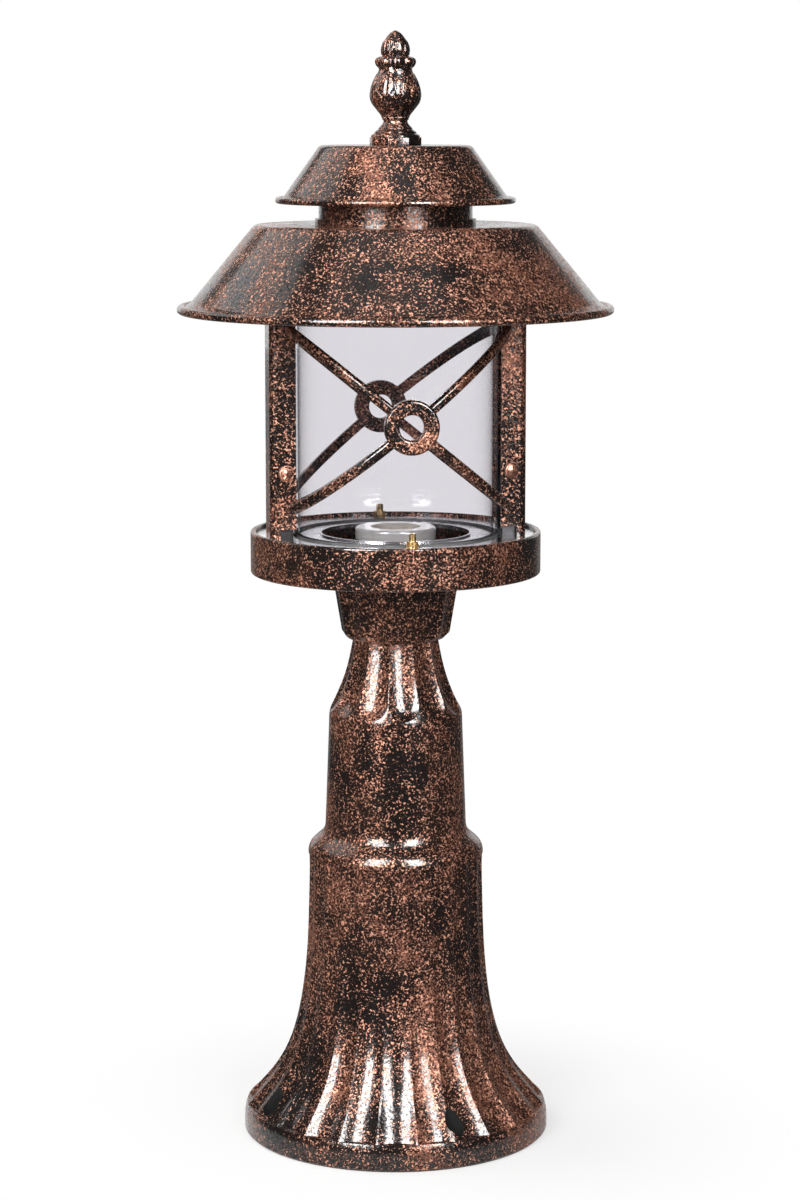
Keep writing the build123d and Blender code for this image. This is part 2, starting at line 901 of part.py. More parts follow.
def pressed_roof(top, top_radius, top_round, cone, brim, bead):
    """Roof of pressed sheet: flat top, cone, flared brim and a rolled bead."""
    with BuildPart() as roof:
        with BuildSketch(Plane.XZ):
            with BuildLine():
                FilletPolyline(
                    (rod_radius + rod_clearance, top),
                    (top_radius, top),
                    (cone[0], top - cone[1]),
                    (brim[0], top - brim[1]),
                    radius=top_round,
                )
                offset(amount=roof_sheet, side=Side.RIGHT)
            make_face()
            with Locations((brim[0], top - brim[1])):
                Circle(bead)
        revolve(axis=Axis.Z)
    return roof.part


# Main roof, its neck and the upper roof
main_roof = pressed_roof(
    main_roof_top,
    main_roof_top_radius,
    main_roof_round,
    (main_roof_cone_radius, main_roof_cone_drop),
    (main_roof_brim_radius, main_roof_brim_drop),
    main_roof_bead,
)
save(main_roof, "main_roof")

with BuildPart() as roof_neck:
    with BuildSketch(Plane.XZ):
        with BuildLine():
            Polyline(
                (neck_radius - neck_wall, main_roof_top),
                (neck_flange_radius, main_roof_top),
                (neck_flange_radius, main_roof_top + neck_flange_height),
                (neck_radius, main_roof_top + neck_flange_height),
                (neck_radius, main_roof_top + neck_height - neck_shoulder_drop),
                (neck_seat_radius, main_roof_top + neck_height),
                (neck_seat_radius - neck_wall, main_roof_top + neck_height),
                (
                    neck_radius - neck_wall,
                    main_roof_top + neck_height - neck_shoulder_drop,
                ),
                close=True,
            )
        make_face()
    revolve(axis=Axis.Z)
save(roof_neck.part, "roof_neck")

upper_roof = pressed_roof(
    upper_roof_top,
    upper_roof_top_radius,
    upper_roof_round,
    (upper_roof_cone_radius, upper_roof_cone_drop),
    (upper_roof_brim_radius, upper_roof_brim_drop),
    upper_roof_bead,
)
save(upper_roof, "upper_roof")

# Finial: an eight-sided foot, a turned bulb, a petal crown and a pointed bud
finial_foot_top = upper_roof_top + finial_foot_height
finial_skirt = (finial_skirt_radius, upper_roof_top + finial_skirt_height)
finial_waist = (finial_waist_radius, upper_roof_top + finial_waist_height)
finial_crown = (finial_crown_radius, upper_roof_top + finial_crown_height)
finial_shelf = (finial_bud_radius, upper_roof_top + finial_crown_top)
finial_tip = (0, upper_roof_top + finial_height)
with BuildPart() as finial:
    with BuildSketch(Plane.XZ):
        with BuildLine():
            Line((0, finial_foot_top), (finial_stem_radius, finial_foot_top))
            Line((finial_stem_radius, finial_foot_top), finial_skirt)
            Spline(
                finial_skirt,
                (finial_neck_radius, upper_roof_top + finial_neck_height),
                (finial_bulb_radius, upper_roof_top + finial_bulb_height),
                finial_waist,
                tangents=[(-0.8, 1), (0.2, 1)],
            )
            Line(finial_waist, finial_crown)
            Line(finial_crown, finial_shelf)
            Spline(finial_shelf, finial_tip, tangents=[(0.2, 1), (-0.7, 1)])
            Line(finial_tip, (0, finial_foot_top))
        make_face()
    revolve(axis=Axis.Z)
    with PolarLocations(
        finial_crown_radius, finial_petals, start_angle=180 / finial_petals
    ):
        rod(finial_petal_groove, finial_waist[1], finial_shelf[1], Mode.SUBTRACT)
    with BuildSketch(Plane.XY.offset(upper_roof_top)):
        RegularPolygon(
            finial_foot_radius, finial_foot_sides, rotation=180 / finial_foot_sides
        )
    extrude(amount=finial_foot_height)
    rod(
        rod_radius + finial_running_clearance,
        upper_roof_top,
        upper_roof_top + finial_bore_depth,
        Mode.SUBTRACT,
    )
save(finial.part, "finial")

# Threaded nipple up the middle, with its nuts, washer and bush
with BuildPart() as nipple:
    rod(nipple_radius, nipple_bottom, holder_bottom + holder_entry_depth)
    rod(
        nipple_bore_radius,
        nipple_bottom,
        holder_bottom + holder_entry_depth,
        Mode.SUBTRACT,
    )
save(nipple.part, "nipple")

with BuildPart() as nipple_nuts:
    for height in (
        strip_top - strip_sheet - nipple_nut_height,
        collar_web_top + washer_thickness,
    ):
        with BuildSketch(Plane.XY.offset(height)):
            hexagon(nipple_nut_width)
            Circle(nipple_radius + nipple_clearance, mode=Mode.SUBTRACT)
        extrude(amount=nipple_nut_height)
save(nipple_nuts.part, "nipple_nuts")

with BuildPart() as nipple_washer:
    rod(washer_radius, collar_web_top, collar_web_top + washer_thickness)
    rod(
        nipple_radius + nipple_clearance,
        collar_web_top,
        collar_web_top + washer_thickness,
        Mode.SUBTRACT,
    )
save(nipple_washer.part, "nipple_washer")

with BuildPart() as nipple_bush:
    rod(bush_flange_radius, nipple_bottom - bush_flange_height, nipple_bottom)
    rod(
        nipple_bore_radius - bush_clearance,
        nipple_bottom,
        nipple_bottom + bush_length,
    )
    rod(
        nipple_bore_radius - bush_clearance - bush_wall,
        nipple_bottom - bush_flange_height,
        nipple_bottom + bush_length,
        Mode.SUBTRACT,
    )
save(nipple_bush.part, "nipple_bush")

# Lampholder: moulded body, ceramic rim, threaded shell and centre contact
with BuildPart() as lampholder_body:
    with BuildSketch(Plane.XZ):
        with BuildLine():
            Polyline(
                (0, holder_bottom),
                (holder_neck_radius, holder_bottom),
                (holder_neck_radius, holder_bottom + holder_neck_height),
                (
                    holder_radius,
                    holder_bottom + holder_neck_height + holder_shoulder_height,
                ),
                (holder_radius, holder_body_top),
                (0, holder_body_top),
                close=True,
            )
        make_face()
    revolve(axis=Axis.Z)
    rod(shell_radius + shell_clearance, shell_bottom, holder_body_top, Mode.SUBTRACT)
    rod(nipple_bore_radius, holder_bottom, shell_bottom, Mode.SUBTRACT)
    rod(
        nipple_radius + nipple_clearance,
        holder_bottom,
        holder_bottom + holder_entry_depth,
        Mode.SUBTRACT,
    )
save(lampholder_body.part, "lampholder_body")

with BuildPart() as lampholder_rim:
    rod(holder_rim_radius, holder_body_top, holder_top)
    fillet(lampholder_rim.edges().group_by(Axis.Z)[-1], holder_rim_height / 4)
    rod(shell_radius + shell_clearance, holder_body_top, holder_top, Mode.SUBTRACT)
save(lampholder_rim.part, "lampholder_rim")

with BuildPart() as lampholder_shell:
    rod(shell_radius, shell_bottom, shell_bottom + shell_length)
    rod(socket_radius, shell_bottom, shell_bottom + shell_length, Mode.SUBTRACT)
save(lampholder_shell.part, "lampholder_shell")

with BuildPart() as lampholder_contact:
    with BuildSketch(Plane.XZ.offset(-contact_width / 2)):
        with BuildLine():
            Polyline(
                (-contact_reach, shell_bottom),
                (-contact_reach / 2, shell_bottom),
                (-contact_reach / 4, shell_bottom + contact_rise),
                (contact_reach / 4, shell_bottom + contact_rise),
            )
            offset(amount=contact_thickness, side=Side.LEFT)
        make_face()
    extrude(amount=contact_width)
save(lampholder_contact.part, "lampholder_contact")

# Terminal strip, clamped under the pedestal's web by the lower nipple nut
strip_back = strip_leg_offset + strip_sheet
strip_bottom = strip_top - strip_leg_length
block_bottom = strip_top - block_drop - block_length
with BuildPart() as terminal_strip:
    with BuildSketch(Plane.YZ.offset(-strip_width / 2)):
        with BuildLine():
            Polyline(
                (-strip_foot, strip_top),
                (strip_back, strip_top),
                (strip_back, strip_bottom),
                (strip_leg_offset, strip_bottom),
                (strip_leg_offset, strip_top - strip_sheet),
                (-strip_foot, strip_top - strip_sheet),
                close=True,
            )
        make_face()
    extrude(amount=strip_width)
    rod(
        nipple_radius + nipple_clearance, strip_top - strip_sheet, strip_top, Mode.SUBTRACT
    )
    with Locations((0, strip_back, strip_bottom + earth_screw_margin)):
        Cylinder(
            earth_screw_radius + screw_clearance,
            3 * strip_sheet,
            rotation=(90, 0, 0),
            mode=Mode.SUBTRACT,
        )
save(terminal_strip.part, "terminal_strip")

# Terminal block on the strip, and the clamp screws in its front
pole_spacing = block_width / block_poles
with BuildPart() as terminal_block:
    with Locations((0, strip_leg_offset, block_bottom)):
        Box(
            block_width,
            block_depth,
            block_length,
            align=(Align.CENTER, Align.MAX, Align.MIN),
        )
    with Locations((0, strip_leg_offset - block_depth / 2)):
        with GridLocations(pole_spacing, 1, block_poles, 1):
            rod(
                block_bore_radius,
                block_bottom,
                block_bottom + block_length,
                Mode.SUBTRACT,
            )
    with Locations(
        (0, strip_leg_offset - block_depth, block_bottom + block_length / 2)
    ):
        with GridLocations(pole_spacing, 1, block_poles, 1):
            for row in (-0.5, 0.5):
                with Locations((0, 0, row * terminal_row_spacing)):
                    Cylinder(
                        terminal_screw_radius + screw_clearance,
                        block_depth,
                        rotation=(90, 0, 0),
                        mode=Mode.SUBTRACT,
                    )
save(terminal_block.part, "terminal_block")

with BuildPart() as terminal_screws:
    with Locations(
        (
            0,
            strip_leg_offset - block_depth - terminal_screw_rise,
            block_bottom + block_length / 2,
        )
    ):
        with GridLocations(pole_spacing, 1, block_poles, 1):
            for row in (-0.5, 0.5):
                with Locations((0, 0, row * terminal_row_spacing)):
                    Cylinder(
                        terminal_screw_radius,
                        terminal_screw_length,
                        rotation=(90, 0, 0),
                        align=(Align.CENTER, Align.CENTER, Align.MAX),
                    )
save(terminal_screws.part, "terminal_screws")

# Earth screw at the lower end of the strip
earth_screw = pan_screw(
    earth_screw_radius,
    earth_screw_length,
    earth_screw_head_radius,
    earth_screw_head_height,
)
with BuildPart() as earth_screws:
    with Locations(
        Location(
            (0, strip_leg_offset, strip_bottom + earth_screw_margin),
            (90, 0, 0),
        )
    ):
        add(earth_screw)
save(earth_screws.part, "earth_screw")
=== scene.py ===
"""Dresses the pedestal lantern: finishes, carved and threaded details, floor, lights and camera."""

import json
import math

import bpy
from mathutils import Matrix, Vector


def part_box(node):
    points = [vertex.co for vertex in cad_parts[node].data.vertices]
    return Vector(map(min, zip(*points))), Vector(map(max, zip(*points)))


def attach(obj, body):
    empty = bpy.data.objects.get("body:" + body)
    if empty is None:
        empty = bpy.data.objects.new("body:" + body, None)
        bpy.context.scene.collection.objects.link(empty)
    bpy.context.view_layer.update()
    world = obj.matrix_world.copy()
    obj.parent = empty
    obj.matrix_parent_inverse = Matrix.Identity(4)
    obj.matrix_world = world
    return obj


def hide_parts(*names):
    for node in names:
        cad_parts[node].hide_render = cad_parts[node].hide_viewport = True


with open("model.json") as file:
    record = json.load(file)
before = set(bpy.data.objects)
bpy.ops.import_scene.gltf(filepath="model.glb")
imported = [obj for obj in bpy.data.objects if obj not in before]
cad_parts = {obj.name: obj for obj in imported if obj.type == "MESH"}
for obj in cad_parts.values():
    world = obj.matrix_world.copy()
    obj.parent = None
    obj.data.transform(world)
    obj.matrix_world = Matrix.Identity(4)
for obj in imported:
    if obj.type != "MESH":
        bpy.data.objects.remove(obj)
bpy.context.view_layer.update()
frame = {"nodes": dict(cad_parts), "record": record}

MM = 0.001

# Tones of the finishes, linear
ENAMEL_BLACK = (0.0105, 0.0072, 0.0065, 1)
# Near-black: painted shade on the walls of the anchor holes
BORE_SHADE_BLACK = (0.004, 0.004, 0.004, 1)
ENAMEL_DARK = (0.024, 0.0125, 0.0095, 1)
ENAMEL_COPPER = (0.165, 0.060, 0.034, 1)
# Light salmon: painted glint on the copper flakes
ENAMEL_GLINT_FLECK = (0.58, 0.28, 0.185, 1)
SCREW_COPPER = (0.62, 0.33, 0.24, 1)
SCREW_DARK = (0.07, 0.028, 0.018, 1)
BRASS = (0.74, 0.53, 0.25, 1)
BRASS_DULL = (0.42, 0.28, 0.12, 1)
ZINC = (0.62, 0.63, 0.65, 1)
ZINC_DARK = (0.40, 0.41, 0.43, 1)
# Zinc darkened nearly black for the brackets: painted shade at the post feet
ZINC_SHADE_DARK = (0.035, 0.034, 0.036, 1)
ZINC_SHADE_DARKEST = (0.012, 0.011, 0.011, 1)
SHEET = (0.80, 0.80, 0.81, 1)
SHEET_DARK = (0.60, 0.60, 0.62, 1)
PHENOLIC = (0.015, 0.015, 0.017, 1)
PHENOLIC_DUST = (0.05, 0.05, 0.05, 1)
PORCELAIN = (0.86, 0.85, 0.82, 1)
PORCELAIN_WARM = (0.74, 0.72, 0.66, 1)
MOULDED_WHITE = (0.80, 0.80, 0.77, 1)
MOULDED_SHADE = (0.66, 0.66, 0.62, 1)
RUBBER = (0.018, 0.018, 0.018, 1)
RUBBER_DUST = (0.05, 0.048, 0.045, 1)
GLASS_TINT = (0.952, 0.946, 0.960, 1)
GLASS_EDGE = (0.55, 0.54, 0.58, 1)
FLOOR_WHITE = (0.90, 0.90, 0.90, 1)
WHITE = (1, 1, 1, 1)

# Anchor holes in the foot: turns in degrees, circle, radius, and the edges of their walls, which
# carry painted shade
ANCHOR_TURN = 17
ANCHOR_STEP = 90
ANCHOR_CIRCLE = 78.0 * MM
ANCHOR_RADIUS = 5.25 * MM
BORE_EDGES = (ANCHOR_RADIUS + 0.05 * MM, ANCHOR_RADIUS + 0.2 * MM)
BORE_TOP = (60 * MM, 70 * MM)

# Speckle of the enamel: its fineness, where copper starts, and the clouds that thin it
SPECK_SCALE = 900
SPECK_EDGE = 0.545
SPECK_FADE = 0.05
SPECK_DEPTH = 0.03 * MM
CLOUD_SCALE = 21
CLOUD_STRETCH = (1, 1, 0.6)
CLOUD_SHARE = 0.60
CLOUD_EDGES = (0.35, 0.65)
PATCH_SCALE = 75
PATCH_SHARE = 0.30
# Which copper specks get the painted glint, by noise
GLINT_FLECK_SHARE = 0.5
GLINT_FLECK_EDGES = (0.56, 0.70)
COPPER_METAL = 0.35

# Gloss coat of the enamel: its weight between pits, how copper breaks it, and its ripple
PIT_EDGES = (0.40, 0.47)
COAT_WEIGHT = 0.7
COPPER_BREAKS_COAT = 0.8
ENAMEL_ROUGHNESS = 0.20
COPPER_ROUGHER = 0.26
RIPPLE_DEPTH = 0.25 * MM

# Wear of metal: how much coarser stains are than scuffs, and what each adds to the tone
STAIN_COARSER = 9
STAIN_SHARE = 0.6
SCUFF_SHARE = 0.4
WEAR_EDGES = (0.36, 0.62)
WEAR_ROUGHER = 0.18

# Grain and mottling of moulded, glazed and rubber pieces
GRAIN_SCALE = 900
GRAIN_DEPTH = 0.03 * MM
GRAIN_ROUGHER = 0.08
MOTTLE_SCALE = 70
MOTTLE_EDGES = (0.3, 0.7)

# Glass: share mirrored face on, what is added edge on, and how sharply
GLASS_MIRROR = 0.04
GLASS_EDGE_MIRROR = 0.90
GLASS_EDGE_POWER = 5
GLASS_EDGE_TINT = (0.70, 1.0)
GLASS_RIPPLE_SCALE = 30
GLASS_RIPPLE_DEPTH = 0.1 * MM

# Camera: its place round the lantern and its view
CAMERA_TURN = math.radians(-8.0)
CAMERA_DISTANCE = 1.7955
CAMERA_HEIGHT = 0.5891
CAMERA_DIP = math.radians(8.84)
CAMERA_FIELD = math.radians(21.32)
CAMERA_PAN = math.radians(-0.08)

# Room that gloss sees: a bright backdrop behind the lantern and dim walls elsewhere
BEHIND = (-math.sin(CAMERA_TURN), math.cos(CAMERA_TURN), 0)
BACKDROP_EDGE = math.cos(math.radians(31))
BACKDROP_BLUR = 0.015
DARK_ROOM = 0.06
AMBIENT = 0.30

# Floor: size, fade to the background from the base outwards, and its level in gloss
FLOOR_RADIUS = 6
FLOOR_FADE = (85 * MM, 260 * MM)
FLOOR_FADE_START = 0.62
FLOOR_GLOSS_FADE = (120 * MM, 450 * MM)
FLOOR_GLEAM = 0.22

# Soft lights: name, turn from the camera and rise in degrees, size, light and gleam
LIGHT_AIM = 0.30
LIGHT_DISTANCE = 1.7
LIGHT_GAP = 0.1
SOFTBOXES = [
    ("softbox_right", 28, 30, (0.56, 1.5), 9, 80),
    ("softbox_left", -31, 31, (0.66, 1.5), 19, 95),
    ("softbox_side", -115, 42, (1.3, 1.0), 12, 6),
    ("softbox_top", -20, 82, (1.2, 1.2), 11, 2.5),
]


class Wire:
    """A shader socket that can be written into sums and products."""

    def __init__(self, finish, socket):
        self.finish = finish
        self.socket = socket

    def math(self, operation, first, second):
        return self.finish.add("ShaderNodeMath", {0: first, 1: second}, operation=operation)

    def __add__(self, other):
        return self.math("ADD", self, other)

    def __radd__(self, other):
        return self.math("ADD", other, self)

    def __sub__(self, other):
        return self.math("SUBTRACT", self, other)

    def __rsub__(self, other):
        return self.math("SUBTRACT", other, self)

    def __mul__(self, other):
        return self.math("MULTIPLY", self, other)

    def __rmul__(self, other):
        return self.math("MULTIPLY", other, self)

    def __truediv__(self, other):
        return self.math("DIVIDE", self, other)

    def __pow__(self, other):
        return self.math("POWER", self, other)

    def at_least(self, other):
        return self.math("MAXIMUM", self, other)


class Finish:
    """A material or a world made of nodes, on the piece's own coordinates."""

    def __init__(self, owner):
        self.owner = owner
        self.owner.use_nodes = True
        self.tree = owner.node_tree
        self.tree.nodes.clear()
        self.place = self.add("ShaderNodeTexCoord", output="Object")

    def add(self, kind, inputs=None, output=0, **settings):
        node = self.tree.nodes.new(kind)
        for name, value in settings.items():
            setattr(node, name, value)
        for key, value in (inputs or {}).items():
            if isinstance(value, Wire):
                self.tree.links.new(value.socket, node.inputs[key])
            else:
                node.inputs[key].default_value = value
        return Wire(self, node.outputs[output]) if node.outputs else None

    def noise(self, scale, detail=2.0, roughness=0.5, distortion=0.0, place=None):
        return self.add(
            "ShaderNodeTexNoise",
            {
                "Vector": place or self.place,
                "Scale": scale,
                "Detail": detail,
                "Roughness": roughness,
                "Distortion": distortion,
            },
        )

    def stretched(self, factors):
        """The piece's own coordinates, each multiplied by a factor."""
        return self.add("ShaderNodeVectorMath", {0: self.place, 1: factors}, operation="MULTIPLY")

    def band(self, value, low, high, first=0.0, last=1.0):
        """Smooth step of a value between two levels."""
        return self.add(
            "ShaderNodeMapRange",
            {0: value, 1: low, 2: high, 3: first, 4: last},
            interpolation_type="SMOOTHSTEP",
        )

    def blend(self, share, first, last):
        """Mix of two colours by a share."""
        return self.add(
            "ShaderNodeMix",
            {0: share, 6: first, 7: last},
            output=2,
            data_type="RGBA",
        )

    def relief(self, height, depth, strength=1.0, under=None):
        inputs = {"Height": height, "Distance": depth, "Strength": strength}
        if under:
            inputs["Normal"] = under
        return self.add("ShaderNodeBump", inputs)

    def surface(self, **inputs):
        """Principled surface, its inputs named with underscores for spaces."""
        named = {name.replace("_", " "): value for name, value in inputs.items()}
        return self.add("ShaderNodeBsdfPrincipled", named)

    def ray(self, kind):
        """1 for rays of one kind, such as those of the camera or of a gleam."""
        return self.add("ShaderNodeLightPath", output=f"Is {kind} Ray")

    def share_behind(self, way):
        """How far a way points to the backdrop behind the lantern."""
        return self.add(
            "ShaderNodeVectorMath", {0: way, 1: BEHIND}, "Value", operation="DOT_PRODUCT"
        )

    def backdrop(self, share, bright):
        """Bright where a way points to the backdrop, and dim elsewhere."""
        low = BACKDROP_EDGE - BACKDROP_BLUR
        high = BACKDROP_EDGE + BACKDROP_BLUR
        return self.band(share, low, high, DARK_ROOM, bright)

    def finish(self, shader, output="ShaderNodeOutputMaterial"):
        self.add(output, {"Surface": shader})
        return self.owner


def new_finish(name):
    return Finish(bpy.data.materials.new(name))


def bore_shade_mask(f):
    """1 on the walls of the anchor holes, which are painted near-black as shade inside the holes.
    """
    flat = f.stretched((1, 1, 0))
    height = f.add("ShaderNodeSeparateXYZ", {0: f.place}, "Z")
    mask = 0
    for degrees in range(ANCHOR_TURN, 360, ANCHOR_STEP):
        turn = math.radians(degrees)
        centre = (ANCHOR_CIRCLE * math.cos(turn), ANCHOR_CIRCLE * math.sin(turn), 0)
        away = f.add("ShaderNodeVectorMath", {0: flat, 1: centre}, "Value", operation="DISTANCE")
        mask = f.band(away, *BORE_EDGES, 1.0, 0.0) + mask
    return mask * f.band(height, *BORE_TOP, 1.0, 0.0)


def speckled_enamel():
    """Dark enamel under a gloss coat, with raised copper specks, dense in clouds, some of them
    lighter as a painted glint.
    """
    f = new_finish("speckled_enamel")
    speck = f.noise(SPECK_SCALE, detail=1.2, roughness=0.5, distortion=0.7)
    cloud = f.noise(
        CLOUD_SCALE, detail=2.0, roughness=0.55, distortion=0.5, place=f.stretched(CLOUD_STRETCH)
    )
    patch = f.noise(PATCH_SCALE, detail=1.5, roughness=0.5)
    shine = f.noise(SPECK_SCALE * 0.45, detail=1.0)
    pit = f.noise(SPECK_SCALE * 0.8, detail=1.0, distortion=0.4)
    ripple = f.noise(SPECK_SCALE * 0.5, detail=1.0)
    level = speck + (cloud - 0.5) * CLOUD_SHARE + (patch - 0.5) * PATCH_SHARE
    copper = f.band(level, SPECK_EDGE, SPECK_EDGE + SPECK_FADE)
    # Painted glint: a noisy share of the copper specks turns lighter salmon
    bright = f.band(speck + (shine - 0.5) * GLINT_FLECK_SHARE, *GLINT_FLECK_EDGES) * copper
    bore_shade = bore_shade_mask(f)
    colour = f.blend(f.band(cloud, *CLOUD_EDGES), ENAMEL_BLACK, ENAMEL_DARK)
    colour = f.blend(copper, colour, ENAMEL_COPPER)
    colour = f.blend(bright, colour, ENAMEL_GLINT_FLECK)
    # Painted shade: the walls of the anchor holes go near-black
    colour = f.blend(bore_shade, colour, BORE_SHADE_BLACK)
    coat = f.band(pit, *PIT_EDGES, 0.0, COAT_WEIGHT)
    wavy = f.relief(ripple, RIPPLE_DEPTH)
    return f.finish(
        f.surface(
            Base_Color=colour,
            Metallic=copper * COPPER_METAL * (1 - bore_shade),
            Roughness=(ENAMEL_ROUGHNESS + COPPER_ROUGHER * copper).at_least(bore_shade),
            Specular_IOR_Level=0.22,
            Coat_Weight=coat * (1 - COPPER_BREAKS_COAT * copper) * (1 - bore_shade),
            Coat_Roughness=0.10,
            Normal=f.relief(copper, SPECK_DEPTH, 0.5, wavy),
        )
    )


def worn_metal(name, dull, bright, grain_scale, roughness, depth):
    """Bare or plated metal with fine scuffs and duller patches."""
    f = new_finish(name)
    scuff = f.noise(grain_scale, detail=4.0, roughness=0.65)
    stain = f.noise(grain_scale / STAIN_COARSER, detail=2.0)
    tone = f.band(stain * STAIN_SHARE + scuff * SCUFF_SHARE, *WEAR_EDGES)
    return f.finish(
        f.surface(
            Base_Color=f.blend(tone, dull, bright),
            Metallic=1.0,
            Roughness=roughness + WEAR_ROUGHER * (1 - tone),
            Normal=f.relief(scuff, depth, 0.4),
        )
    )


def moulded(name, shade, light, roughness, coat):
    """Moulded plastic, glazed ceramic or rubber with slight mottling."""
    f = new_finish(name)
    grain = f.noise(GRAIN_SCALE, detail=3.0)
    mottle = f.noise(MOTTLE_SCALE, detail=2.0)
    return f.finish(
        f.surface(
            Base_Color=f.blend(f.band(mottle, *MOTTLE_EDGES), shade, light),
            Roughness=roughness + GRAIN_ROUGHER * grain,
            Coat_Weight=coat,
            Coat_Roughness=0.08,
            Normal=f.relief(grain, GRAIN_DEPTH, 0.3),
        )
    )


def clear_glass():
    """Clear glass that lets light through, greyer where it is seen edge on."""
    f = new_finish("clear_glass")
    facing = f.add("ShaderNodeLayerWeight", {"Blend": 0.5}, output="Facing")
    mirror_share = GLASS_MIRROR + GLASS_EDGE_MIRROR * facing**GLASS_EDGE_POWER
    ripple = f.relief(f.noise(GLASS_RIPPLE_SCALE, detail=1.0), GLASS_RIPPLE_DEPTH, 0.15)
    tint = f.blend(f.band(facing, *GLASS_EDGE_TINT), GLASS_TINT, GLASS_EDGE)
    through = f.add("ShaderNodeBsdfTransparent", {"Color": tint})
    gloss = f.add("ShaderNodeBsdfGlossy", {"Color": WHITE, "Roughness": 0.03, "Normal": ripple})
    return f.finish(f.add("ShaderNodeMixShader", {0: mirror_share, 1: through, 2: gloss}))


enamel = speckled_enamel()
finishes = {
    "speckled_paint": enamel,
    "copper_screws": worn_metal(
        "copper_screw_enamel", SCREW_DARK, SCREW_COPPER, 900, 0.30, 0.04 * MM
    ),
    "bright_plate": worn_metal("bright_sheet", SHEET_DARK, SHEET, 160, 0.10, 0.01 * MM),
    "brass": worn_metal("turned_brass", BRASS_DULL, BRASS, 500, 0.18, 0.03 * MM),
    "zinc_steel": worn_metal("zinc_plate", ZINC_DARK, ZINC, 350, 0.24, 0.03 * MM),
    "black_plate": moulded("satin_black_enamel", RUBBER, RUBBER_DUST, 0.35, 0.5),
    "white_plastic": moulded("white_moulding", MOULDED_SHADE, MOULDED_WHITE, 0.35, 0.1),
    "black_plastic": moulded("black_phenolic", PHENOLIC, PHENOLIC_DUST, 0.22, 0.4),
    "white_ceramic": moulded("glazed_porcelain", PORCELAIN_WARM, PORCELAIN, 0.15, 0.9),
    "clear_glass": clear_glass(),
    "black_rubber": moulded("flat_rubber", RUBBER, RUBBER_DUST, 0.62, 0.0),
}
slot_of = {s["node"]: s["material_slot"] for s in frame["record"]["subparts"]}
# The brackets' zinc is darkened nearly black: painted shade where they sit at the post feet inside
# the tray
own_finish = dict.fromkeys(
    ("bracket_left", "bracket_right"),
    worn_metal("shade_darkened_zinc", ZINC_SHADE_DARKEST, ZINC_SHADE_DARK, 260, 0.45, 0.03 * MM),
)
for name, piece in frame["nodes"].items():
    piece.data.materials.clear()
    piece.data.materials.append(own_finish.get(name, finishes[slot_of[name]]))


# Steps that every new piece goes through
def select_only(*pieces):
    """Selects pieces and nothing else, the first of them active."""
    bpy.ops.object.select_all(action="DESELECT")
    for piece in pieces:
        piece.select_set(True)
    bpy.context.view_layer.objects.active = pieces[0]


def begin(name, adder, **settings):
    """Adds a primitive by itself and gives it its name."""
    bpy.ops.object.select_all(action="DESELECT")
    adder(**settings)
    piece = bpy.context.object
    piece.name = name
    piece.data.name = name
    return piece


def pick_faces(piece, wanted):
    """Leaves edit mode on, with only the faces chosen by centre and normal selected."""
    bpy.ops.object.mode_set(mode="EDIT")
    bpy.ops.mesh.select_mode(type="FACE")
    bpy.ops.mesh.select_all(action="DESELECT")
    bpy.ops.object.mode_set(mode="OBJECT")
    for face in piece.data.polygons:
        face.select = wanted(face.center, face.normal)
    bpy.ops.object.mode_set(mode="EDIT")


def apply_modifier(piece, kind, **settings):
    modifier = piece.modifiers.new(kind.lower(), kind)
    for name, value in settings.items():
        setattr(modifier, name, value)
    select_only(piece)
    bpy.ops.object.modifier_apply(modifier=modifier.name)


def settle(piece, body, finish, smooth, nodes):
    """Puts a finished piece's place in its mesh, dresses it and lets it ride."""
    select_only(piece)
    bpy.ops.object.transform_apply(location=True, rotation=True, scale=True)
    bpy.ops.object.shade_smooth_by_angle(angle=math.radians(smooth))
    piece.data.materials.clear()
    piece.data.materials.append(finish)
    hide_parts(*nodes)
    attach(piece, body)


def outline(name, points):
    """Bare line through (radius, height) points, to be swept round the upright axis."""
    piece = begin(name, bpy.ops.mesh.primitive_plane_add, size=MM)
    bpy.ops.object.mode_set(mode="EDIT")
    bpy.ops.mesh.select_all(action="SELECT")
    bpy.ops.mesh.delete(type="VERT")
    bpy.ops.object.mode_set(mode="OBJECT")
    piece.data.from_pydata(
        [(radius, 0, height) for radius, height in points],
        [(step, step + 1) for step in range(len(points) - 1)],
        [],
    )
    return piece


def turned(name, points, steps):
    """Piece turned on the upright axis from an outline."""
    piece = outline(name, points)
    bpy.ops.object.mode_set(mode="EDIT")
    bpy.ops.mesh.select_all(action="SELECT")
    bpy.ops.mesh.spin(
        steps=steps, angle=2 * math.pi, center=(0, 0, 0), axis=(0, 0, 1)
    )
    bpy.ops.mesh.select_all(action="SELECT")
    bpy.ops.mesh.remove_doubles(threshold=0.01 * MM)
    bpy.ops.mesh.normals_make_consistent(inside=False)
    bpy.ops.object.mode_set(mode="OBJECT")
    return piece


def through(points, count):
    """Evenly spaced points of a smooth line through (radius, height) points."""
    line = []
    for step in range(len(points) - 1):
        before = points[max(step - 1, 0)]
        first, last = points[step], points[step + 1]
        after = points[min(step + 2, len(points) - 1)]
        for part in range(count):
            t = part / count
            line.append(
                tuple(
                    0.5
                    * (
                        2 * first[i]
                        + (last[i] - before[i]) * t
                        + (2 * before[i] - 5 * first[i] + 4 * last[i] - after[i]) * t**2
                        + (3 * first[i] - before[i] - 3 * last[i] + after[i]) * t**3
                    )
                    for i in (0, 1)
                )
            )
    line.append(points[-1])
    return line


def raised(edge, width):
    """Rounded step from 0 outside an edge to 1 inside it."""
    share = min(max(edge / width, 0.0), 1.0)
    return share * share * (3 - 2 * share)


